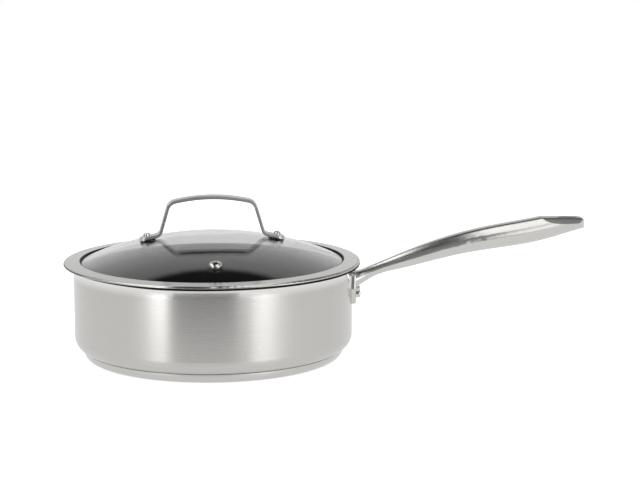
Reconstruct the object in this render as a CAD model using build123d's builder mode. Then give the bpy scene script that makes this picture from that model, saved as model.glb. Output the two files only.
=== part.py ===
from build123d import *
import os
from math import asin, cos, degrees, radians, sin, sqrt

os.makedirs("parts", exist_ok=True)

# A saute pan with a glass lid, in millimetres.
# The origin is the middle of the foot, where the pan rests. Z is up and the long handle points along X.

# Pan: a pressed steel shell whose wall flares a little below its rolled rim
mouth_radius = 120.0
sheet = 1.0
wall_height = 82.8
corner_radius = 11.3
rim_flare_radius = 56.0
rim_flare_angle = 7.0
rim_roll_radius = 1.6
rim_roll_angle = 188.0
coating = 0.4

# Heat-spreading base under the shell
base_thickness = 7.4
cap_sheet = 0.6
base_inset = 8.1
cap_edge_radius = 6.6

# Long handle: one casting with its riveting flange
handle_reach = 201.3
handle_rise = 54.0
handle_drop = 16.8
grip_thickness = 21.6
grip_width = 26.0
flange_thickness = 3.6
flange_height = 28.8
flange_width = 30.0
flange_top_width = 20.0
flange_foot_width = 17.0
flange_corner = 5.0
flange_edge = 1.0
flange_above_root = 8.2
neck_facet_rise = 7.3
neck_facet_length = 14.6
tip_crown_rise = 56.3
tip_crown_radius = 18.0
tip_cut_share = 0.3
tip_rounding = 9.0
tip_edge_length = 12.3
tip_edge_drop = 4.0
tip_edge_lift = 0.2
slot_length = 20.3
slot_width = 9.0
slot_to_tip = 6.0
slot_edge = 0.8

# The handle's centre line and girth at stations along its reach. Each row gives, as shares,
# how far out it lies, how high it has risen, how thick it is and how wide it is.
station_shares = (
    (0.0075, 0.0, 0.699, 0.830),
    (0.060, 0.094, 0.568, 0.615),
    (0.114, 0.187, 0.500, 0.508),
    (0.204, 0.304, 0.636, 0.585),
    (0.343, 0.471, 0.813, 0.800),
    (0.493, 0.622, 0.912, 0.938),
    (0.642, 0.727, 0.986, 0.993),
    (0.791, 0.827, 1.002, 1.0),
    (0.901, 0.931, 0.955, 0.985),
    (1.010, 1.022, 0.800, 0.960),
)

# Rivets that hold the flange on the wall
rivet_spacing = 16.0
rivet_above_flange_foot = 9.8
rivet_shank_radius = 2.6
rivet_head_radius = 3.7
rivet_head_side = 3.4
rivet_head_crown = 0.8
rivet_head_edge = 0.8
rivet_tail_radius = 5.0
rivet_tail_crown = 2.0

# Lid: a domed glass in a steel band that rests on the pan's rim
lid_turn_angle = 5.2
lid_shift = -0.8
lid_gap = 0.3
skirt_play = 1.6
band_sheet = 0.8
band_flange = 1.4
band_slope = 0.06
band_overhang = 4.8
band_curl_radius = 1.8
band_curl_angle = 72.0
band_end_softening = 0.6
lip_cover = 2.3
skirt_depth = 6.9
seal_wall = 0.8
seal_bead = 0.9
bead_below_lip = 0.2
glass = 4.0
glass_crown = 22.0
glass_below_lip = 1.8

# Strap handle on the lid, its studs and what they clamp
strap_width = 12.0
strap_thickness = 3.0
strap_height = 33.5
strap_crown_half = 38.1
strap_bow = 5.0
strap_leg_lean = 8.3
strap_shoulder = 10.0
strap_ankle = 5.0
strap_edge = 0.6
foot_before_stud = 9.4
foot_beyond_stud = 7.4
stud_shank_radius = 2.0
stud_head_radius = 2.95
stud_head_side = 2.0
stud_head_crown = 0.9
pad_thickness = 1.0
pad_length = 13.6
pad_width = 11.0
pad_corner = 2.0
pad_inboard = 0.2
bush_sleeve = 1.0
bush_flange_radius = 6.0
bush_flange = 1.0
nut_radius = 4.6
nut_side = 3.0
nut_crown = 1.8
nut_cavity = 3.4
seat_gap = 0.1

# Steam vent
vent_inside_lip = 29.6
vent_hole_radius = 2.2
vent_barrel = 0.8
vent_ring_radius = 5.4
vent_ring_side = 0.5
vent_ring_height = 2.2
vent_mouth_depth = 0.5
vent_curl_radius = 4.6
vent_curl = 0.8

# One overrun serves every cut, and a bend or a side is a quarter of a turn
overrun = 30.0
quarter_angle = 90.0

wall_outer = mouth_radius + sheet
wall_middle = mouth_radius + sheet / 2
flare_lean = radians(rim_flare_angle)
flare_out = rim_flare_radius * (1 - cos(flare_lean))
roll_height = wall_height - sheet / 2 - rim_roll_radius * (1 - sin(flare_lean))
flare_height = roll_height - rim_flare_radius * sin(flare_lean)
shell_corner = corner_radius + sheet


def shell_underside(radius):
    """Height of the shell's underside, outside its flat floor, at a radius in the corner."""
    out = max(radius - (wall_outer - shell_corner), 0)
    return base_thickness + shell_corner - sqrt(shell_corner**2 - out**2)


def dome_ball(reach, crown):
    """Radius of the ball whose cap is as wide as the reach and as high as the crown."""
    return (reach**2 + crown**2) / (2 * crown)


def on_wall(angle):
    """Turn about the pan's axis, to place a piece round the wall."""
    return Location((0, 0, 0), (0, 0, angle))


# The shell is one line, floor, corner, wall, flare and rim, given the sheet's thickness and revolved
rivet_height = wall_height - handle_drop + flange_above_root - flange_height + rivet_above_flange_foot
rivet_turn = degrees(asin(rivet_spacing / 2 / (wall_outer + flange_thickness)))
rivet_axis = Axis((0, 0, rivet_height), (1, 0, 0))

with BuildPart() as rivet_bore:
    with BuildSketch(Plane.YZ) as bore_section:
        with Locations((0, rivet_height)):
            Circle(rivet_shank_radius)
    extrude(amount=wall_outer + overrun)

with BuildPart() as vessel:
    with BuildSketch(Plane.XZ) as shell_section:
        with BuildLine() as shell_line:
            floor = Line((0, base_thickness + sheet / 2), (wall_outer - shell_corner, base_thickness + sheet / 2))
            corner = JernArc(floor @ 1, floor % 1, corner_radius + sheet / 2, quarter_angle)
            wall = Line(corner @ 1, (wall_middle, flare_height))
            flare = JernArc(wall @ 1, wall % 1, rim_flare_radius, -rim_flare_angle)
            JernArc(flare @ 1, flare % 1, rim_roll_radius, -rim_roll_angle)
        trace(line_width=sheet)
    revolve(axis=Axis.Z)
    with Locations(on_wall(rivet_turn), on_wall(-rivet_turn)):
        add(rivet_bore.part, mode=Mode.SUBTRACT)

# The non-stick skin lines the floor, the wall and its flare up to the rim's roll
skin_floor = base_thickness + sheet + coating / 2
skin_radius = mouth_radius - coating / 2

with BuildPart() as interior_coating:
    with BuildSketch(Plane.XZ) as skin_section:
        with BuildLine() as skin_line:
            skin_bottom = Line((0, skin_floor), (wall_outer - shell_corner, skin_floor))
            skin_corner = JernArc(skin_bottom @ 1, skin_bottom % 1, corner_radius - coating / 2, quarter_angle)
            skin_wall = Line(skin_corner @ 1, (skin_radius, flare_height))
            JernArc(skin_wall @ 1, skin_wall % 1, rim_flare_radius + sheet / 2 + coating / 2, -rim_flare_angle)
        trace(line_width=coating)
    revolve(axis=Axis.Z)
    with Locations(on_wall(rivet_turn), on_wall(-rivet_turn)):
        add(rivet_bore.part, mode=Mode.SUBTRACT)

# The cap is a shallow steel cup whose edge meets the shell's corner, and the core fills it
cap_radius = wall_outer - base_inset
cap_flat = cap_radius - cap_edge_radius
cap_top = shell_underside(cap_radius) + sheet / 2

with BuildPart() as base_cap:
    with BuildSketch(Plane.XZ) as cap_section:
        with BuildLine() as cap_line:
            cap_floor = Line((0, cap_sheet / 2), (cap_flat, cap_sheet / 2))
            cap_edge = JernArc(cap_floor @ 1, cap_floor % 1, cap_edge_radius - cap_sheet / 2, quarter_angle)
            Line(cap_edge @ 1, (cap_radius - cap_sheet / 2, cap_top))
        trace(line_width=cap_sheet)
    revolve(axis=Axis.Z)
    add(vessel.part, mode=Mode.SUBTRACT)

with BuildPart() as base_core:
    with BuildSketch(Plane.XZ) as core_section:
        with BuildLine() as core_line:
            core_floor = Line((0, cap_sheet), (cap_flat, cap_sheet))
            core_edge = JernArc(core_floor @ 1, core_floor % 1, cap_edge_radius - cap_sheet, quarter_angle)
            Polyline(
                core_edge @ 1,
                (cap_radius - cap_sheet, cap_top),
                (wall_outer - shell_corner, base_thickness + sheet / 2),
                (0, base_thickness + sheet / 2),
                (0, cap_sheet),
            )
        make_face()
    revolve(axis=Axis.Z)
    add(vessel.part, mode=Mode.SUBTRACT)

# Long handle. The flange is a tongue bent to the wall, and the neck and grip are one loft of ovals.
root_height = wall_height - handle_drop
flange_top = root_height + flange_above_root
flange_foot = flange_top - flange_height
flange_middle = (flange_top + flange_foot) / 2
tip_x = wall_outer + handle_reach
crown_height = root_height + tip_crown_rise
slot_x = tip_x - slot_to_tip - slot_length / 2

with BuildPart() as pan_handle:
    with BuildSketch(Plane.YZ) as flange_outline:
        with BuildLine():
            Polyline(
                (-flange_top_width / 2, flange_top),
                (flange_top_width / 2, flange_top),
                (flange_width / 2, flange_middle),
                (flange_foot_width / 2, flange_foot),
                (-flange_foot_width / 2, flange_foot),
                (-flange_width / 2, flange_middle),
                close=True,
            )
        make_face()
        fillet(flange_outline.vertices(), flange_corner)
    extrude(amount=wall_outer + overrun)
    Cylinder(wall_outer + flange_thickness, wall_height * 2, mode=Mode.INTERSECT)
    fillet(pan_handle.faces().sort_by(Axis.X)[-1].edges(), flange_edge)
    for out_share, rise_share, thick_share, wide_share in station_shares:
        station = Plane(
            origin=(wall_outer + handle_reach * out_share, 0, root_height + handle_rise * rise_share),
            x_dir=(0, 1, 0),
            z_dir=(1, 0, 0),
        )
        with BuildSketch(station):
            Ellipse(grip_width * wide_share / 2, grip_thickness * thick_share / 2)
    loft()
    # The back of the flange follows the wall
    Cylinder(wall_outer, wall_height * 2, mode=Mode.SUBTRACT)
    # A flat facet runs up the top of the neck from the flange
    with BuildSketch(Plane.XZ) as neck_facet:
        with BuildLine():
            Polyline(
                (wall_outer, flange_top),
                (wall_outer + flange_thickness * 2, flange_top),
                (wall_outer + flange_thickness * 2 + neck_facet_length, flange_top + neck_facet_rise),
                (wall_outer + flange_thickness * 2 + neck_facet_length, flange_top + overrun),
                (wall_outer, flange_top + overrun),
                close=True,
            )
        make_face()
    extrude(amount=grip_width, both=True, mode=Mode.SUBTRACT)
    # The top of the grip's end is levelled to a low arch, which leaves a crease on each side
    with BuildSketch(Plane.YZ.offset(tip_x - handle_reach * tip_cut_share)) as crown_cut:
        with Locations((0, crown_height)):
            Rectangle(grip_width * 2, tip_crown_radius * 2)
        with Locations((0, crown_height - tip_crown_radius)):
            Circle(tip_crown_radius, mode=Mode.SUBTRACT)
    extrude(amount=handle_reach * tip_cut_share + overrun, mode=Mode.SUBTRACT)
    # The arch falls away at the very end
    with BuildSketch(Plane.XZ) as end_rounding:
        with Locations((tip_x - tip_edge_length, crown_height + tip_edge_lift - tip_edge_drop)):
            Rectangle(tip_edge_length + overrun, tip_edge_drop + overrun, align=(Align.MIN, Align.MIN))
            Ellipse(tip_edge_length, tip_edge_drop, mode=Mode.SUBTRACT)
    extrude(amount=grip_width, both=True, mode=Mode.SUBTRACT)
    # Seen from above the grip ends in a rounded nose
    with BuildSketch(Plane.XY.offset(flange_foot)) as nose_outline:
        with Locations((tip_x - tip_rounding, 0)):
            Rectangle(handle_reach + overrun, grip_width * 2, align=(Align.MAX, Align.CENTER))
            Ellipse(tip_rounding, grip_width / 2)
    extrude(amount=flange_height + handle_rise + overrun, mode=Mode.INTERSECT)
    # Hanging slot
    with BuildSketch(Plane.XY.offset(root_height)) as hanging_slot:
        with Locations((slot_x, 0)):
            SlotOverall(slot_length, slot_width)
    extrude(amount=handle_rise + overrun, mode=Mode.SUBTRACT)
    slot_rim = pan_handle.edges().filter_by_position(Axis.X, slot_x - slot_length / 2, slot_x + slot_length / 2)
    slot_rim = slot_rim.filter_by_position(Axis.Y, -slot_width / 2 - seat_gap, slot_width / 2 + seat_gap)
    fillet(slot_rim.filter_by_position(Axis.Z, crown_height - tip_edge_drop, crown_height), slot_edge)
    with Locations(on_wall(rivet_turn), on_wall(-rivet_turn)):
        add(rivet_bore.part, mode=Mode.SUBTRACT)

# Each rivet has a thick round head on the flange and a low domed tail inside the pan
head_seat = wall_outer + flange_thickness
tail_seat = sqrt((mouth_radius - coating) ** 2 - rivet_tail_radius**2)

with BuildPart() as rivet:
    with BuildSketch(Plane.XZ) as rivet_section:
        with BuildLine():
            Polyline(
                (tail_seat - rivet_tail_crown, rivet_height),
                (head_seat + rivet_head_side + rivet_head_crown, rivet_height),
            )
            RadiusArc(
                (head_seat + rivet_head_side + rivet_head_crown, rivet_height),
                (head_seat + rivet_head_side, rivet_height + rivet_head_radius),
                -dome_ball(rivet_head_radius, rivet_head_crown),
            )
            Polyline(
                (head_seat + rivet_head_side, rivet_height + rivet_head_radius),
                (head_seat, rivet_height + rivet_head_radius),
                (head_seat, rivet_height + rivet_shank_radius),
                (tail_seat, rivet_height + rivet_shank_radius),
                (tail_seat, rivet_height + rivet_tail_radius),
            )
            RadiusArc(
                (tail_seat, rivet_height + rivet_tail_radius),
                (tail_seat - rivet_tail_crown, rivet_height),
                -dome_ball(rivet_tail_radius, rivet_tail_crown),
            )
        make_face()
        head_rim = head_seat + rivet_head_side
        corners = rivet_section.vertices()
        fillet(corners.filter_by_position(Axis.X, head_rim - seat_gap, head_rim + seat_gap), rivet_head_edge)
    revolve(axis=rivet_axis)

with BuildPart() as handle_rivets:
    with Locations(on_wall(rivet_turn), on_wall(-rivet_turn)):
        add(rivet.part)

# Lid. It is built on the pan's axis and then set on the pan a little turned, as it was put down.
skirt_outer = mouth_radius - coating - skirt_play
skirt_inner = skirt_outer - band_sheet
lip_radius = skirt_inner - lip_cover
roll_crest = wall_middle + flare_out + rim_roll_radius * cos(flare_lean)
lip_middle = wall_height + lid_gap + band_flange / 2 + band_slope * (roll_crest - lip_radius)
lip_top = lip_middle + band_flange / 2
curl_start = wall_middle + rim_roll_radius * 2 + band_overhang - band_curl_radius
skirt_bottom = lip_middle - band_flange / 2 - skirt_depth

glass_drop = glass_crown + glass_below_lip
dome_radius = (lip_radius**2 + glass_drop**2) / (2 * glass_drop)
dome_top = lip_top + glass_crown
dome_centre = dome_top - dome_radius
glass_radius = skirt_inner - seal_wall


def dome_height(radius):
    """Height of the glass's outer face at a radius from its middle."""
    return dome_centre + sqrt(dome_radius**2 - radius**2)


def on_dome(reach, heading):
    """Place on the glass's outer face, standing square to it, at a reach along a heading."""
    lean = degrees(asin(reach / dome_radius))
    turn = radians(heading)
    return Location((reach * cos(turn), reach * sin(turn), dome_height(reach)), (0, 0, heading)) * Location(
        (0, 0, 0), (0, lean, 0)
    )


stud_reach = strap_crown_half + strap_leg_lean + foot_before_stud
stud_places = (on_dome(stud_reach, 0), on_dome(stud_reach, 2 * quarter_angle))
vent_place = on_dome(lip_radius - vent_inside_lip, -quarter_angle)

with BuildPart() as lid_glass:
    with BuildSketch(Plane.XZ) as glass_section:
        with Locations((0, dome_centre)):
            Circle(dome_radius)
            Circle(dome_radius - glass, mode=Mode.SUBTRACT)
        with Locations((0, dome_top)):
            Rectangle(glass_radius, (dome_top - dome_height(glass_radius) + glass) * 4,
                      align=(Align.MIN, Align.CENTER), mode=Mode.INTERSECT)
    revolve(axis=Axis.Z)
    with Locations(*stud_places):
        Cylinder(stud_shank_radius + bush_sleeve, overrun, mode=Mode.SUBTRACT)
    with Locations(vent_place):
        Cylinder(vent_hole_radius + vent_barrel, overrun, mode=Mode.SUBTRACT)

# The band is a wide lip with a curled edge, and a skirt below it that finds the pan's mouth
with BuildPart() as lid_band:
    with BuildSketch(Plane.XZ) as lip_section:
        with BuildLine():
            lip = Line((lip_radius, lip_middle), (curl_start, lip_middle - band_slope * (curl_start - lip_radius)))
            JernArc(lip @ 1, lip % 1, band_curl_radius, -band_curl_angle)
        trace(line_width=band_flange)
        fillet(lip_section.vertices().sort_by(Axis.X)[-2:], band_end_softening)
    revolve(axis=Axis.Z)
    with BuildSketch(Plane.XZ) as skirt_section:
        with BuildLine():
            Polyline(
                (skirt_outer - band_sheet / 2, lip_middle),
                (skirt_outer - band_sheet / 2, skirt_bottom),
                (lip_radius, skirt_bottom),
            )
        trace(line_width=band_sheet)
    revolve(axis=Axis.Z)

# The seal fills the channel round the glass's edge and shows a bead inside the lip
with BuildPart() as glass_seal:
    with BuildSketch(Plane.XZ) as seal_section:
        with Locations((skirt_inner, skirt_bottom + band_sheet / 2)):
            Rectangle(skirt_inner - lip_radius + seal_bead, lip_top - bead_below_lip - skirt_bottom - band_sheet / 2,
                      align=(Align.MAX, Align.MIN))
    revolve(axis=Axis.Z)
    add(lid_glass.part, mode=Mode.SUBTRACT)
    add(lid_band.part, mode=Mode.SUBTRACT)

# The eyelet is pushed through the glass and curled over underneath
with BuildPart() as vent_eyelet:
    with BuildSketch(Plane.XZ) as eyelet_section:
        with BuildLine():
            Polyline(
                (vent_hole_radius, vent_ring_height - vent_mouth_depth),
                (vent_hole_radius, -glass - seat_gap - vent_curl),
                (vent_curl_radius, -glass - seat_gap - vent_curl),
                (vent_curl_radius, -glass - seat_gap),
                (vent_hole_radius + vent_barrel, -glass - seat_gap),
                (vent_hole_radius + vent_barrel, 0),
                (vent_ring_radius, 0),
                (vent_ring_radius, vent_ring_side),
            )
            EllipticalCenterArc(
                (vent_hole_radius + vent_barrel, vent_ring_side),
                vent_ring_radius - vent_hole_radius - vent_barrel,
                vent_ring_height - vent_ring_side,
                start_angle=0,
                arc_size=quarter_angle,
            )
            EllipticalCenterArc(
                (vent_hole_radius + vent_barrel, vent_ring_height - vent_mouth_depth),
                vent_barrel,
                vent_mouth_depth,
                start_angle=quarter_angle,
                arc_size=quarter_angle,
            )
        make_face()
    revolve(axis=Axis.Z)

# The strap is drawn as the outline it follows, rounded, and the band inside that outline is kept
stud_lean = asin(stud_reach / dome_radius)
foot_top_x = stud_reach + (pad_thickness + strap_thickness) * sin(stud_lean)
foot_top_z = dome_height(stud_reach) + (pad_thickness + strap_thickness) * cos(stud_lean)
foot_fall = sin(stud_lean) / cos(stud_lean)
strap_half = stud_reach + foot_beyond_stud
shoulder_z = dome_top + strap_height - strap_bow
ankle_x = strap_crown_half + strap_leg_lean
ankle_z = foot_top_z + foot_fall * (foot_top_x - ankle_x)
toe_x = strap_half + overrun
toe_z = foot_top_z - foot_fall * (toe_x - foot_top_x)

with BuildPart() as lid_handle:
    with BuildSketch(Plane.XZ) as strap_outline:
        with BuildLine():
            ThreePointArc(
                (-strap_crown_half, shoulder_z),
                (0, dome_top + strap_height),
                (strap_crown_half, shoulder_z),
            )
            Polyline(
                (strap_crown_half, shoulder_z),
                (ankle_x, ankle_z),
                (toe_x, toe_z),
                (toe_x, toe_z - overrun),
                (-toe_x, toe_z - overrun),
                (-toe_x, toe_z),
                (-ankle_x, ankle_z),
                (-strap_crown_half, shoulder_z),
            )
        make_face()
        corners = strap_outline.vertices()
        fillet(corners.filter_by_position(Axis.Y, shoulder_z - seat_gap, shoulder_z + seat_gap), strap_shoulder)
        corners = strap_outline.vertices()
        fillet(corners.filter_by_position(Axis.Y, ankle_z - seat_gap, ankle_z + seat_gap), strap_ankle)
        offset(amount=-strap_thickness, mode=Mode.SUBTRACT)
    extrude(amount=strap_width / 2, both=True)
    strap_sides = lid_handle.faces().sort_by(Axis.Y)
    fillet(strap_sides[0].edges() + strap_sides[-1].edges(), strap_edge)
    with BuildSketch(Plane.XY.offset(toe_z)) as strap_plan:
        SlotOverall(strap_half * 2, strap_width)
    extrude(amount=dome_top + strap_height, mode=Mode.INTERSECT)
    with Locations(*stud_places):
        Cylinder(stud_shank_radius, overrun, mode=Mode.SUBTRACT)

# What each stud clamps, from above the glass to below it
with BuildPart() as pad:
    with BuildSketch() as pad_plan:
        with Locations((-pad_inboard, 0)):
            RectangleRounded(pad_length, pad_width, pad_corner)
        Circle(stud_shank_radius, mode=Mode.SUBTRACT)
    extrude(amount=pad_thickness)

with BuildPart() as strap_pads:
    with Locations(*stud_places):
        add(pad.part)

with BuildPart() as stud:
    with BuildSketch(Plane.XZ) as stud_section:
        with BuildLine():
            Polyline(
                (0, pad_thickness + strap_thickness + stud_head_side + stud_head_crown),
                (0, -glass - seat_gap - bush_flange - nut_cavity),
                (stud_shank_radius, -glass - seat_gap - bush_flange - nut_cavity),
                (stud_shank_radius, pad_thickness + strap_thickness),
                (stud_head_radius, pad_thickness + strap_thickness),
                (stud_head_radius, pad_thickness + strap_thickness + stud_head_side),
            )
            RadiusArc(
                (stud_head_radius, pad_thickness + strap_thickness + stud_head_side),
                (0, pad_thickness + strap_thickness + stud_head_side + stud_head_crown),
                -dome_ball(stud_head_radius, stud_head_crown),
            )
        make_face()
    revolve(axis=Axis.Z)

with BuildPart() as handle_studs:
    with Locations(*stud_places):
        add(stud.part)

with BuildPart() as bush:
    with Locations((0, 0, -glass - seat_gap - bush_flange)):
        Cylinder(bush_flange_radius, bush_flange, align=(Align.CENTER, Align.CENTER, Align.MIN))
        Cylinder(stud_shank_radius + bush_sleeve, bush_flange + seat_gap + glass,
                 align=(Align.CENTER, Align.CENTER, Align.MIN))
    Cylinder(stud_shank_radius, overrun, mode=Mode.SUBTRACT)

with BuildPart() as glass_bushes:
    with Locations(*stud_places):
        add(bush.part)

nut_top = -glass - seat_gap - bush_flange

with BuildPart() as nut:
    with BuildSketch(Plane.XZ) as nut_section:
        with BuildLine():
            Polyline(
                (stud_shank_radius, nut_top),
                (nut_radius, nut_top),
                (nut_radius, nut_top - nut_side),
            )
            RadiusArc(
                (nut_radius, nut_top - nut_side),
                (0, nut_top - nut_side - nut_crown),
                dome_ball(nut_radius, nut_crown),
            )
            Polyline(
                (0, nut_top - nut_side - nut_crown),
                (0, nut_top - nut_cavity),
                (stud_shank_radius, nut_top - nut_cavity),
                (stud_shank_radius, nut_top),
            )
        make_face()
    revolve(axis=Axis.Z)

with BuildPart() as cap_nuts:
    with Locations(*stud_places):
        add(nut.part)

# The pan's pieces stand where they were built
pan_pieces = {
    "vessel": vessel.part,
    "interior_coating": interior_coating.part,
    "base_core": base_core.part,
    "base_cap": base_cap.part,
    "pan_handle": pan_handle.part,
    "handle_rivets": handle_rivets.part,
}

# The lid's pieces are set on the pan together
lid_seat = Location((lid_shift, 0, 0), (0, 0, lid_turn_angle))
vent_eyelet.part.locate(vent_place)
lid_pieces = {
    "lid_glass": lid_glass.part,
    "lid_band": lid_band.part,
    "glass_seal": glass_seal.part,
    "vent_eyelet": vent_eyelet.part,
    "lid_handle": lid_handle.part,
    "strap_pads": strap_pads.part,
    "handle_studs": handle_studs.part,
    "glass_bushes": glass_bushes.part,
    "cap_nuts": cap_nuts.part,
}

for name, piece in pan_pieces.items():
    piece.label = name
    export_step(piece, f"parts/{name}.step")
    print(name, len(piece.solids()), round(piece.volume, 1))

for name, piece in lid_pieces.items():
    seated = piece.moved(lid_seat)
    seated.label = name
    export_step(seated, f"parts/{name}.step")
    print(name, len(seated.solids()), round(seated.volume, 1))
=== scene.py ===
# %% [markdown]
# # A saute pan with a glass lid
#
# This lesson dresses a finished CAD model. Every solid is already in its place and true to
# size, so what is left is what the eye judges: how each steel was finished, how the glass and
# the rubber look, and the studio that all of them mirror. Metal has hardly any colour of its
# own. It shows the room, so the room is built with as much care as the finishes.

# %% Load the frame
import math

import bmesh
import bpy
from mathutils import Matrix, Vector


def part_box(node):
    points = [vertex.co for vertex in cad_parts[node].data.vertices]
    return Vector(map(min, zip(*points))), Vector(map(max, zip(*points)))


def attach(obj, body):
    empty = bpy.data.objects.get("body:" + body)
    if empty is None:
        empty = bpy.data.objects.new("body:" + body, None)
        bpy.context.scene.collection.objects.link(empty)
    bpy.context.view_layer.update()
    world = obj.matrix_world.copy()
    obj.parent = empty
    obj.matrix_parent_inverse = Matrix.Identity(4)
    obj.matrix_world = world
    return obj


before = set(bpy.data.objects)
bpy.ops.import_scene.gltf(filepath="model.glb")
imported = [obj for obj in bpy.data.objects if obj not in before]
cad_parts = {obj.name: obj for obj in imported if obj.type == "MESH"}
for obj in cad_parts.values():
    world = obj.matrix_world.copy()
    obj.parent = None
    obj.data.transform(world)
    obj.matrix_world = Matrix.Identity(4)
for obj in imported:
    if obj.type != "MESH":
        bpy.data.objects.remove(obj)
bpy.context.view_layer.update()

# %% [markdown]
# ## Small tools
#
# Four helpers serve every material. Colours are picked as hex values in sRGB, the numbers that
# a screen shows, while a renderer adds up light, so the first one turns them to linear. The
# second adds a node with its settings and links in one call, which keeps a material as short as
# its idea. The last two start a material and put it on pieces.

# %% Colour and node helpers
MM = 0.001


def linear(hex_colour):
    """An sRGB hex value as a linear colour with alpha 1."""
    values = [int(hex_colour[i:i + 2], 16) / 255 for i in (0, 2, 4)]
    light = [v / 12.92 if v <= 0.04045 else ((v + 0.055) / 1.055) ** 2.4 for v in values]
    return (*light, 1.0)


def add(tree, kind, settings=None, **inputs):
    """Adds a node. Settings are its options, and inputs are values or other nodes' outputs.

    An input goes by its name, with _ for each space, or by _ and its number.
    """
    node = tree.nodes.new(kind)
    for option, value in (settings or {}).items():
        setattr(node, option, value)
    for name, value in inputs.items():
        index = int(name[1:]) if name[1:].isdigit() else name.replace("_", " ")
        if isinstance(value, bpy.types.NodeSocket):
            tree.links.new(value, node.inputs[index])
        else:
            node.inputs[index].default_value = value
    return node


def new_material(name):
    """A material with an empty node tree, its tree and its output node."""
    material = bpy.data.materials.new(name)
    material.use_nodes = True
    material.node_tree.nodes.clear()
    tree = material.node_tree
    return material, tree, add(tree, "ShaderNodeOutputMaterial")


def dress(material, *nodes):
    """Puts the material on CAD nodes."""
    for name in nodes:
        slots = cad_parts[name].data.materials
        slots.clear()
        slots.append(material)
    print(material.name, "->", ", ".join(nodes))


WHITE = linear("FFFFFF")
print("white is", WHITE, "and a steel grey is", [round(v, 3) for v in linear("C6C4C0")])

# %% [markdown]
# ## The camera
#
# A long lens from a little over a metre and a half keeps the ellipses of the base, the wall
# and the lid nearly parallel, as catalogue pictures do. The camera looks down by less than ten
# degrees, enough to see over the lid's band into the glass. Its place and lens were worked out
# from those ellipses, so nothing in the frame has to be nudged afterwards.

# %% Place the camera
CAMERA_PLACE = (0.0930, -1.5653, 0.3626)
CAMERA_DOWN = 9.49
LENS_MM = 102.6
SENSOR_MM = 36.0

scene = bpy.context.scene
camera_data = bpy.data.cameras.new("camera")
camera_data.lens = LENS_MM
camera_data.sensor_width = SENSOR_MM
camera = bpy.data.objects.new("camera", camera_data)
camera.location = CAMERA_PLACE
camera.rotation_euler = (math.radians(90 - CAMERA_DOWN), 0.0, 0.0)
scene.collection.objects.link(camera)
scene.camera = camera
distance = math.hypot(*CAMERA_PLACE[:2])
print("camera", round(distance, 3), "m from the pan's axis, lens", LENS_MM, "mm")

# %% [markdown]
# ## The studio
#
# Polished and brushed steel show whatever stands round them, so the studio is lit for its
# mirror images. It is built as a cookware photographer builds it: a white table, pale walls, a
# dark ceiling, and two tall softboxes in front of the pan with a dark gap between them where the
# camera stands. A low, dimmer panel serves the long handle. Two more softboxes hang overhead
# with a gap along the middle, beside a faint one over the handle's tip, and a black card on the
# table draws the dark middle of the wall.
#
# The far room is only directions, so the world holds it as a colour ramp round the horizon,
# times a second one from straight down to straight up.

# %% The far room
# Heading round the room in degrees, 0 at the camera and positive to its right, with brightness
ROOM_ROUND = (
    (-180, 0.84), (-162, 0.78), (-140, 0.60), (-115, 0.70), (-95, 0.80), (-62, 0.80),
    (-52, 0.40), (-36, 0.21), (24, 0.21), (50, 0.45), (64, 0.92), (95, 0.88),
    (115, 0.72), (140, 0.60), (162, 0.78), (180, 0.84),
)
# Degrees above the horizon with the share of that brightness, up to the dark ceiling
ROOM_UPWARD = ((-90, 1.0), (18, 1.0), (45.5, 0.74), (48.5, 0.05), (90, 0.05))


def ramp(tree, place, stops):
    """Brightness over a place from 0 to 1, by stops of place and brightness."""
    # A ramp's colours end at 1, so they are shares of the brightest stop
    peak = max(1.0, *(level for _, level in stops))
    node = add(tree, "ShaderNodeValToRGB", Fac=place)
    elements = node.color_ramp.elements
    while len(elements) < len(stops):
        elements.new(0.5)
    for element, (at, level) in zip(elements, stops):
        element.position = at
        element.color = (level / peak, level / peak, level / peak, 1.0)
    share = node.outputs["Color"]
    return add(tree, "ShaderNodeMath", {"operation": "MULTIPLY"}, _0=share, _1=peak).outputs[0]


world = bpy.data.worlds.new("white_studio")
scene.world = world
world.use_nodes = True
room = world.node_tree
room.nodes.clear()
seen = add(room, "ShaderNodeTexCoord").outputs["Generated"]
x, y, z = add(room, "ShaderNodeSeparateXYZ", Vector=seen).outputs
toward = add(room, "ShaderNodeMath", {"operation": "MULTIPLY"}, _0=y, _1=-1.0)
heading = add(room, "ShaderNodeMath", {"operation": "ARCTAN2"}, _0=x, _1=toward.outputs[0])
round_place = add(room, "ShaderNodeMath", {"operation": "MULTIPLY_ADD"},
                  _0=heading.outputs[0], _1=0.5 / math.pi, _2=0.5)
round_level = ramp(room, round_place.outputs[0],
                   [(degrees / 360 + 0.5, level) for degrees, level in ROOM_ROUND])
slope = add(room, "ShaderNodeMath", {"operation": "ARCSINE"}, _0=z)
upward_place = add(room, "ShaderNodeMath", {"operation": "MULTIPLY_ADD"},
                   _0=slope.outputs[0], _1=1 / math.pi, _2=0.5)
upward_level = ramp(room, upward_place.outputs[0],
                    [(degrees / 180 + 0.5, share) for degrees, share in ROOM_UPWARD])
room_level = add(room, "ShaderNodeMath", {"operation": "MULTIPLY"},
                 _0=round_level, _1=upward_level)
print("room stops:", len(ROOM_ROUND), "round and", len(ROOM_UPWARD), "upwards")

# %% [markdown]
# Mirror images show that room. The camera, and rays that pass through the glass without a
# bounce, see plain white instead, and matt surfaces get an even, soft light.

# %% What each ray sees
# The far walls are a trace off pure white
ROOM_PAINT = linear("FFFFFE")
SOFT_LIGHT = 0.8

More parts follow.
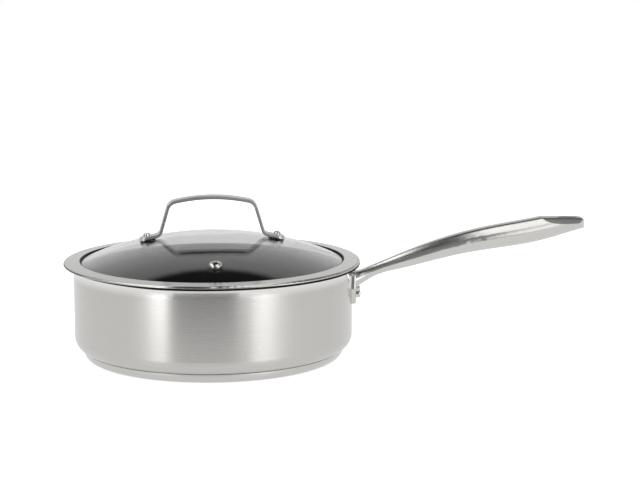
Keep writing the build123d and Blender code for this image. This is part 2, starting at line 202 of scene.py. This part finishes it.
mirrored_room = add(room, "ShaderNodeBackground", Color=ROOM_PAINT, Strength=room_level.outputs[0])
soft_light = add(room, "ShaderNodeBackground", Color=WHITE, Strength=SOFT_LIGHT)
backdrop = add(room, "ShaderNodeBackground", Color=WHITE, Strength=1.0)
ray = add(room, "ShaderNodeLightPath")
bounces = add(room, "ShaderNodeMath", {"operation": "ADD"},
              _0=ray.outputs["Glossy Depth"], _1=ray.outputs["Diffuse Depth"])
# Fewer than half a bounce is none
straight = add(room, "ShaderNodeMath", {"operation": "LESS_THAN"}, _0=bounces.outputs[0], _1=0.5)
mirrored = add(room, "ShaderNodeMath", {"operation": "MAXIMUM"},
               _0=ray.outputs["Is Glossy Ray"], _1=ray.outputs["Is Transmission Ray"])
lit = add(room, "ShaderNodeMixShader", _0=mirrored.outputs[0],
          _1=soft_light.outputs[0], _2=mirrored_room.outputs[0])
shown = add(room, "ShaderNodeMixShader", _0=straight.outputs[0],
            _1=lit.outputs[0], _2=backdrop.outputs[0])
add(room, "ShaderNodeOutputWorld", Surface=shown.outputs[0])
scene.view_settings.view_transform = "Standard"
print("soft light", SOFT_LIGHT, "of white")

# %% [markdown]
# ## Softboxes and the black card
#
# These stand close, so each place on the pan sees them a little shifted. That is why a
# highlight changes along the handle, and why they are real panels and not part of the world.
# A softbox is brightest in its middle and falls off to its frame, which a ramp across the
# panel gives. Only mirror images show the panels: the camera and the soft light miss them.

# %% Panel helpers
OVERHEAD = 1.0
SOFTBOX_TOP = 0.75


def staged_sheet(name, corners, material):
    """A four-cornered sheet of the studio, which isn't part of the pan."""
    mesh = bpy.data.meshes.new(name)
    mesh.from_pydata(corners, [], [(0, 1, 2, 3)])
    mesh.materials.append(material)
    sheet = bpy.data.objects.new(name, mesh)
    scene.collection.objects.link(sheet)
    return sheet


def panel(name, corners, *stops):
    """A glowing sheet that only mirror images see, with brightness stops over its X."""
    material, tree, output = new_material(name)
    place = add(tree, "ShaderNodeTexCoord").outputs["Generated"]
    across = add(tree, "ShaderNodeSeparateXYZ", Vector=place).outputs["X"]
    glow = add(tree, "ShaderNodeEmission", Color=WHITE, Strength=ramp(tree, across, stops))
    tree.links.new(glow.outputs[0], output.inputs["Surface"])
    sheet = staged_sheet(name, corners, material)
    for kind in ("camera", "diffuse", "transmission", "volume_scatter", "shadow"):
        setattr(sheet, "visible_" + kind, False)


def upright(start, end, foot=0.0):
    """Corners of a panel that stands from one place to another, with its foot at a height."""
    return [(*start, foot), (*end, foot), (*end, SOFTBOX_TOP), (*start, SOFTBOX_TOP)]


def level_at(height, *places):
    """Corners of a level panel, from their places in plan."""
    return [(x, y, height) for x, y in places]


print("softboxes reach up to", SOFTBOX_TOP, "m and hang at", OVERHEAD, "m")

# %% Hang the panels
HANDLE_PANEL_FOOT = 0.115
TIP_LEVEL = 0.22
CARD_LEVEL = 0.03

panel("fill_right", upright((0.225, -0.59), (0.37, -0.47), HANDLE_PANEL_FOOT),
      (0.0, 0.3), (0.12, 1.1), (0.4, 1.45), (0.7, 1.5), (1.0, 1.4))
panel("softbox_right", upright((0.565, -0.945), (1.050, -0.460)),
      (0.0, 2.0), (0.10, 3.9), (0.22, 4.3), (0.34, 3.9), (0.48, 3.2), (0.64, 2.0),
      (0.8, 1.4), (1.0, 1.1))
panel("softbox_left", upright((-0.504, -0.323), (-0.305, -0.522)),
      (0.0, 0.9), (0.38, 1.4), (0.62, 2.9), (0.80, 3.4), (0.97, 3.5), (1.0, 2.8))
panel("softbox_over_right",
      level_at(OVERHEAD, (0.0, -0.85), (0.34, -0.85), (0.34, 0.50), (0.0, 0.28)),
      (0.0, 0.25), (0.17, 1.3), (0.28, 1.7), (0.46, 1.55), (0.56, 1.3), (0.8, 1.5), (1.0, 1.1))
panel("bounce_over_tip",
      level_at(OVERHEAD, (0.37, -0.85), (0.95, -0.85), (0.95, 0.50), (0.37, 0.50)),
      (0.0, TIP_LEVEL), (1.0, TIP_LEVEL))
panel("softbox_over_left",
      level_at(OVERHEAD, (-0.90, -0.30), (-0.34, -0.30), (-0.20, 0.54), (-0.90, 0.54)),
      (0.0, 1.8), (0.7, 2.3), (1.0, 2.4))
panel("black_card",
      level_at(0.0, (-0.85, -1.60), (0.47, -1.60), (0.145, -0.365), (-0.165, -0.365)),
      (0.0, CARD_LEVEL), (1.0, CARD_LEVEL))

# %% [markdown]
# ## The floor
#
# The pan stands on a white table that melts into the background. To the camera it is white
# paper with a little light of its own, so that only the soft contact shadow is left of it.
# Mirrored in the steel it is evenly pale.

# %% Lay the floor
FLOOR_HALF = 6.0
FLOOR_BELOW = 0.2 * MM
PAPER_GLOW = 0.62
TABLE_LEVEL = 0.9

paper, tree, output = new_material("white_paper")
ray = add(tree, "ShaderNodeLightPath")
glow = add(tree, "ShaderNodeMath", {"operation": "MULTIPLY"},
           _0=ray.outputs["Is Camera Ray"], _1=PAPER_GLOW)
fibres = add(tree, "ShaderNodeBsdfDiffuse", Color=linear("E6E6E6"))
shine = add(tree, "ShaderNodeEmission", Color=WHITE, Strength=glow.outputs[0])
lit_paper = add(tree, "ShaderNodeAddShader", _0=fibres.outputs[0], _1=shine.outputs[0])
table = add(tree, "ShaderNodeEmission", Color=WHITE, Strength=TABLE_LEVEL)
laid = add(tree, "ShaderNodeMixShader", _0=ray.outputs["Is Glossy Ray"],
           _1=lit_paper.outputs[0], _2=table.outputs[0])
tree.links.new(laid.outputs[0], output.inputs["Surface"])
floor_plan = ((-FLOOR_HALF, -FLOOR_HALF), (FLOOR_HALF, -FLOOR_HALF),
              (FLOOR_HALF, FLOOR_HALF), (-FLOOR_HALF, FLOOR_HALF))
staged_sheet("floor", level_at(-FLOOR_BELOW, *floor_plan), paper)
print("floor", 2 * FLOOR_HALF, "m across")

# %% [markdown]
# A large overhead lamp gives the matt things, rubber and paper, a gentle direction. It is
# kept out of the mirror images, where it would show as one more window.

# %% Overhead lamp
LAMP_PLACE = (0.0, -0.2, 1.5)
LAMP_SIZE = (1.4, 1.0)
LAMP_WATTS = 9.0

lamp_data = bpy.data.lights.new("overhead", "AREA")
lamp_data.shape = "RECTANGLE"
lamp_data.size, lamp_data.size_y = LAMP_SIZE
lamp_data.energy = LAMP_WATTS
lamp = bpy.data.objects.new("overhead", lamp_data)
lamp.location = LAMP_PLACE
lamp.visible_glossy = False
lamp.visible_camera = False
scene.collection.objects.link(lamp)
print("lamp", LAMP_WATTS, "W")

# %% [markdown]
# ## Brushed stainless steel
#
# The wall was turned against an abrasive belt, which leaves thousands of fine scratches that
# run round it. Each scratch mirrors like a tiny cylinder: sharp along its length and smeared
# across it, so a softbox becomes a clean upright band. That is anisotropy. The shader's
# tangent runs round the axis, and a quarter turn sets the smear across the scratches.
#
# The scratches themselves are a noise that is stretched round the wall. Real ones are a tenth
# of a millimetre apart, too fine for this picture, so they are drawn about 0.5 mm apart.

# %% Scratches
SCRATCH_LENGTH = 45 * MM
SCRATCH_SPACING = 0.5 * MM
# Its place is counted in scratches, so the noise has a scale of 1
SCRATCH_NOISE = {"Scale": 1.0, "Detail": 4.0, "Roughness": 0.65}
WALL_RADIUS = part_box("vessel")[1][0]


def round_scratches(tree):
    """A noise stretched round the Z axis: long along the turn, fine up and down and outwards."""
    place = add(tree, "ShaderNodeTexCoord").outputs["Object"]
    x, y, z = add(tree, "ShaderNodeSeparateXYZ", Vector=place).outputs
    angle = add(tree, "ShaderNodeMath", {"operation": "ARCTAN2"}, _0=y, _1=x)
    along = add(tree, "ShaderNodeMath", {"operation": "MULTIPLY"},
                _0=angle.outputs[0], _1=WALL_RADIUS / SCRATCH_LENGTH)
    in_plan = add(tree, "ShaderNodeCombineXYZ", X=x, Y=y)
    out = add(tree, "ShaderNodeVectorMath", {"operation": "LENGTH"}, _0=in_plan.outputs[0])
    outward = add(tree, "ShaderNodeMath", {"operation": "DIVIDE"},
                  _0=out.outputs["Value"], _1=SCRATCH_SPACING)
    upward = add(tree, "ShaderNodeMath", {"operation": "DIVIDE"}, _0=z, _1=SCRATCH_SPACING)
    drawn = add(tree, "ShaderNodeCombineXYZ",
                X=along.outputs[0], Y=upward.outputs[0], Z=outward.outputs[0])
    return add(tree, "ShaderNodeTexNoise", Vector=drawn.outputs[0], **SCRATCH_NOISE).outputs["Fac"]


def long_scratches(tree):
    """A noise stretched along the X axis, the way a handle is drawn over the belt."""
    place = add(tree, "ShaderNodeTexCoord").outputs["Object"]
    drawn = add(tree, "ShaderNodeMapping", Vector=place,
                Scale=(1 / SCRATCH_LENGTH, 1 / SCRATCH_SPACING, 1 / SCRATCH_SPACING))
    return add(tree, "ShaderNodeTexNoise", Vector=drawn.outputs[0], **SCRATCH_NOISE).outputs["Fac"]


print("scratches drawn", round(SCRATCH_SPACING / MM, 2), "mm apart")

# %% [markdown]
# Every steel on the pan is the same recipe with its own colours, gloss and scratches. The wall
# has one more step: just under its rim the brushing was buffed over, so there it grows glossier
# upwards, and a painted sheen makes it paler there as well.

# %% Steel, and the brushed wall
QUARTER_TURN = 0.25
SCRATCH_BUMP = 0.25
# The paler tint is a painted sheen, a lighter band of light under the rim
PAINTED_SHEEN_TINT = "ECEBE8"
# The share of the roughness that buffing takes away
BUFFED_AWAY = 0.7
# Heights where the buffing and the painted sheen start and where they are complete
UNDER_RIM = (71 * MM, 79 * MM)


def steel(name, bright, dull, gloss, spread=0.03, depth=0.002 * MM, smear=0.0, buffed_with_sheen=None,
          scratches=round_scratches):
    """Stainless steel.

    Scratches vary its colour from dull to bright and its roughness by the spread, and are cut
    in by the depth. Between the two heights of buffed_with_sheen it grows glossier, and paler
    with a painted sheen.
    """
    material, tree, output = new_material(name)
    fac = scratches(tree)
    tint = add(tree, "ShaderNodeMix", {"data_type": "RGBA"},
               _0=fac, _6=linear(dull), _7=linear(bright))
    rough = add(tree, "ShaderNodeMapRange", _0=fac, _3=gloss + spread, _4=gloss - spread)
    if buffed_with_sheen:
        place = add(tree, "ShaderNodeTexCoord").outputs["Object"]
        height = add(tree, "ShaderNodeSeparateXYZ", Vector=place).outputs["Z"]
        buff_and_sheen = add(tree, "ShaderNodeMapRange", _0=height, _1=buffed_with_sheen[0], _2=buffed_with_sheen[1])
        # Painted sheen: towards the rim the tint turns paler
        tint = add(tree, "ShaderNodeMix", {"data_type": "RGBA"},
                   _0=buff_and_sheen.outputs[0], _6=tint.outputs[2], _7=linear(PAINTED_SHEEN_TINT))
        left = add(tree, "ShaderNodeMath", {"operation": "MULTIPLY_ADD"},
                   _0=buff_and_sheen.outputs[0], _1=-BUFFED_AWAY, _2=1.0)
        rough = add(tree, "ShaderNodeMath", {"operation": "MULTIPLY"},
                    _0=rough.outputs[0], _1=left.outputs[0])
    relief = add(tree, "ShaderNodeBump", Strength=SCRATCH_BUMP, Distance=depth, Height=fac)
    surface = add(tree, "ShaderNodeBsdfPrincipled", Base_Color=tint.outputs[2], Metallic=1.0,
                  Roughness=rough.outputs[0], Normal=relief.outputs[0])
    if smear:
        around = add(tree, "ShaderNodeTangent", {"direction_type": "RADIAL", "axis": "Z"})
        surface.inputs["Anisotropic"].default_value = smear
        surface.inputs["Anisotropic Rotation"].default_value = QUARTER_TURN
        tree.links.new(around.outputs[0], surface.inputs["Tangent"])
    tree.links.new(surface.outputs[0], output.inputs["Surface"])
    return material


dress(steel("stainless_steel_brushed_round", "CECDCA", "C2C1BE", 0.28, depth=0.0012 * MM,
            smear=0.83, buffed_with_sheen=UNDER_RIM), "vessel")

# %% [markdown]
# The foot cap and the lid's band were turned too, and the band was finished finer, so it
# mirrors more. The long handle is a casting: it was ground along its length and then satin
# polished, and its highlights run from end to end. The lid's strap was drawn along its length
# and left duller, and the small turned pieces were polished. The core is plain aluminium.

# %% The other metals
dress(steel("stainless_steel_turned_foot", "D0CFCC", "C5C4C1", 0.30, smear=0.6), "base_cap")
dress(steel("stainless_steel_satin_band", "C1C0BE", "B6B5B3", 0.20, smear=0.4), "lid_band")
dress(steel("stainless_steel_satin_casting", "D6D5D2", "CCCBC8", 0.20,
            scratches=long_scratches), "pan_handle")
dress(steel("stainless_steel_satin_strap", "C4C4C2", "BEBEBC", 0.33, spread=0.02,
            depth=0.001 * MM, scratches=long_scratches), "lid_handle")
dress(steel("stainless_steel_polished_small", "D8D7D4", "CECDCA", 0.13),
      "handle_rivets", "handle_studs", "cap_nuts", "vent_eyelet")
dress(steel("aluminium_milled", "D6D8DA", "C8CACC", 0.38, spread=0.05), "base_core")

# %% [markdown]
# ## Tempered glass
#
# Tempered soda-lime glass is clear, with a trace of grey-green in its thickness, and very
# faintly wavy, because it was pressed hot. It has its real 4 mm of thickness in the mesh, so
# the shader needs little more than the index of refraction. One thing is mended on the way: the
# mesh's triangles meet in a point at the crown and tilt the shading there by about a degree,
# which a mirror image shows at once. Close to the crown, the shader therefore takes the normal
# of the dome's own sphere.

# %% Glass
GLASS_IOR = 1.52
WAVE_LENGTH = 60 * MM
WAVE_HEIGHT = 0.02 * MM
WAVE_BUMP = 0.05
DOME_RADIUS = 283.4 * MM
# The sphere's normal rules up to the first distance from the axis, and fades out by the second
CROWN_SMOOTH = (9 * MM, 15 * MM)

material, tree, output = new_material("glass_tempered_clear")
place = add(tree, "ShaderNodeTexCoord").outputs["Object"]
meshed = add(tree, "ShaderNodeNewGeometry").outputs["Normal"]
# From the dome's axis outwards, in plan
glass_low, glass_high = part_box("lid_glass")
middle_x = (glass_low[0] + glass_high[0]) / 2
across = add(tree, "ShaderNodeVectorMath", {"operation": "MULTIPLY_ADD"},
             _0=place, _1=(1.0, 1.0, 0.0), _2=(-middle_x, 0.0, 0.0)).outputs[0]
# From the sphere's middle outwards, and then turned to the side that the mesh's normal faces
radial = add(tree, "ShaderNodeVectorMath", {"operation": "ADD"},
             _0=across, _1=(0.0, 0.0, DOME_RADIUS))
sphere = add(tree, "ShaderNodeVectorMath", {"operation": "NORMALIZE"},
             _0=radial.outputs[0]).outputs[0]
facing = add(tree, "ShaderNodeVectorMath", {"operation": "DOT_PRODUCT"}, _0=sphere, _1=meshed)
side = add(tree, "ShaderNodeMath", {"operation": "SIGN"}, _0=facing.outputs["Value"])
sided = add(tree, "ShaderNodeVectorMath", {"operation": "SCALE"},
            _0=sphere, Scale=side.outputs[0])
reach = add(tree, "ShaderNodeVectorMath", {"operation": "LENGTH"}, _0=across)
crown = add(tree, "ShaderNodeMapRange", _0=reach.outputs["Value"],
            _1=CROWN_SMOOTH[0], _2=CROWN_SMOOTH[1], _3=1.0, _4=0.0)
smooth = add(tree, "ShaderNodeMix", {"data_type": "VECTOR"},
             _0=crown.outputs[0], _4=meshed, _5=sided.outputs[0])
waves = add(tree, "ShaderNodeTexNoise", Vector=place, Scale=1 / WAVE_LENGTH, Detail=1.0)
relief = add(tree, "ShaderNodeBump", Strength=WAVE_BUMP, Distance=WAVE_HEIGHT,
             Height=waves.outputs["Fac"], Normal=smooth.outputs[1])
pane = add(tree, "ShaderNodeBsdfPrincipled", Base_Color=linear("F4F7F6"), Roughness=0.0,
           IOR=GLASS_IOR, Transmission_Weight=1.0, Normal=relief.outputs[0])
tree.links.new(pane.outputs[0], output.inputs["Surface"])
dress(material, "lid_glass")

# %% [markdown]
# ## Coating and rubber
#
# The non-stick coating is a sprayed polymer: black, slightly pebbled, half glossy. The seal,
# the pads and the bushes are moulded silicone rubber, a little darker and duller than the
# coating. Both have a fine grain that varies the colour and breaks the gloss. A real grain is
# two or three tenths of a millimetre wide, too fine for this picture, so it is drawn about
# 1 mm wide.

# %% Black polymers
POLYMER_IOR = 1.45
GLOSS_SWING = 0.06
PEBBLE_BUMP = 0.3
PEBBLE_HEIGHT = 0.02 * MM


def pebbled(name, dark, pale, gloss, grain):
    """A dark matt finish with a fine grain, which varies its colour and breaks its gloss."""
    material, tree, output = new_material(name)
    place = add(tree, "ShaderNodeTexCoord").outputs["Object"]
    specks = add(tree, "ShaderNodeTexNoise", Vector=place, Scale=1 / grain,
                 Detail=3.0).outputs["Fac"]
    tint = add(tree, "ShaderNodeMix", {"data_type": "RGBA"},
               _0=specks, _6=linear(dark), _7=linear(pale))
    rough = add(tree, "ShaderNodeMapRange", _0=specks,
                _3=gloss - GLOSS_SWING, _4=gloss + GLOSS_SWING)
    relief = add(tree, "ShaderNodeBump", Strength=PEBBLE_BUMP, Distance=PEBBLE_HEIGHT,
                 Height=specks)
    skin = add(tree, "ShaderNodeBsdfPrincipled", Base_Color=tint.outputs[2],
               Roughness=rough.outputs[0], Normal=relief.outputs[0], IOR=POLYMER_IOR)
    tree.links.new(skin.outputs[0], output.inputs["Surface"])
    return material


dress(pebbled("coating_nonstick_sprayed", "0C0C0C", "161616", 0.45, 0.8 * MM),
      "interior_coating")
dress(pebbled("rubber_silicone_moulded", "0B0B0B", "151515", 0.6, 1.2 * MM),
      "glass_seal", "strap_pads", "glass_bushes")

# %% [markdown]
# ## The seam at the foot
#
# Where the foot cap was pressed over the aluminium core, its edge leaves a hairline groove
# under the wall. Brazing flux darkens it, and the groove's shadow is painted into it too, which
# makes a dark line. It is drawn as a thin ring that sits in the corner between cap and wall.

# %% Draw the seam
SEAM_WIRE = 0.4 * MM
RING_STEPS = 256
WIRE_SIDES = 8


def ring(name, radius, height, wire, rise=lambda turn: 0.0):
    """A closed ring of round wire about the Z axis, raised by its turn from the X axis."""
    mesh = bmesh.new()
    rows = []
    for i in range(RING_STEPS):
        turn = 2 * math.pi * i / RING_STEPS
        row = []
        for k in range(WIRE_SIDES):
            side = 2 * math.pi * k / WIRE_SIDES
            out = radius + wire * math.cos(side)
            up = height + rise(turn) + wire * math.sin(side)
            row.append(mesh.verts.new((out * math.cos(turn), out * math.sin(turn), up)))
        rows.append(row)
    for i in range(RING_STEPS):
        here, there = rows[i], rows[(i + 1) % RING_STEPS]
        for k in range(WIRE_SIDES):
            after = (k + 1) % WIRE_SIDES
            mesh.faces.new((here[k], there[k], there[after], here[after]))
    bmesh.ops.recalc_face_normals(mesh, faces=mesh.faces)
    data = bpy.data.meshes.new(name)
    mesh.to_mesh(data)
    mesh.free()
    data.polygons.foreach_set("use_smooth", [True] * len(data.polygons))
    piece = bpy.data.objects.new(name, data)
    scene.collection.objects.link(piece)
    return piece


cap_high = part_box("base_cap")[1]
seam = ring("foot_seam", cap_high[0] - SEAM_WIRE / 2, cap_high[2], SEAM_WIRE)
# Dark from brazing flux, with the groove's shadow painted in
seam.data.materials.append(pebbled("braze_flux_and_painted_shade", "1C1A18", "2A2826", 0.6, 1.5 * MM))
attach(seam, "pan")
print("seam at", round(cap_high[2] / MM, 2), "mm, radius", round(cap_high[0] / MM, 2), "mm")

# %% [markdown]
# ## The painted shadow under the lid's band
#
# The band's edge is rolled under, and below that curl lies a shadow gap between the lid and the
# pan's rim. That shadow is painted as a black ring, which from the front and the right shows as
# a line between the lid and the rim. On the left the gap is lit, so there the ring is raised into
# the band and hidden.

# %% Draw the painted shadow
HEM_WIRE = 0.85 * MM
# The height where the curled edge ends
CURL_FOOT = 82.0 * MM
# The ring's middle lies this far inside the band's edge, and this far below the curl
HEM_INSIDE = 0.9 * MM
HEM_BELOW = 0.75 * MM
# The painted shadow shows most at this turn from the X axis
HEM_FRONT_RIGHT = math.radians(-35)
# It shows while the cosine of the angle from there is above this
HEM_SHADE_SHOWN = 0.3
# Where the gap is lit, the ring rises by this for each unit of cosine lost, until hidden
HEM_RISE = 2.7 * MM
HEM_HIDDEN = 1.7 * MM


def hem_rise(turn):
    """How far the painted shadow ring is raised into the band, out of sight."""
    return min(HEM_HIDDEN, HEM_RISE * max(0.0, HEM_SHADE_SHOWN - math.cos(turn - HEM_FRONT_RIGHT)))


band_low, band_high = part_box("lid_band")
hem_radius = (band_high[0] - band_low[0]) / 2 - HEM_INSIDE
hem_shadow_ring = ring("lid_hem_painted_shadow", hem_radius, CURL_FOOT - HEM_BELOW, HEM_WIRE, hem_rise)
hem_shadow_ring.location.x = (band_low[0] + band_high[0]) / 2
# Black: the painted shadow of the gap under the band's curl
hem_shadow_ring.data.materials.append(pebbled("painted_shadow_black", "020202", "050505", 0.9, 1.5 * MM))
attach(hem_shadow_ring, "lid")
print("hem radius", round(hem_radius / MM, 2), "mm")
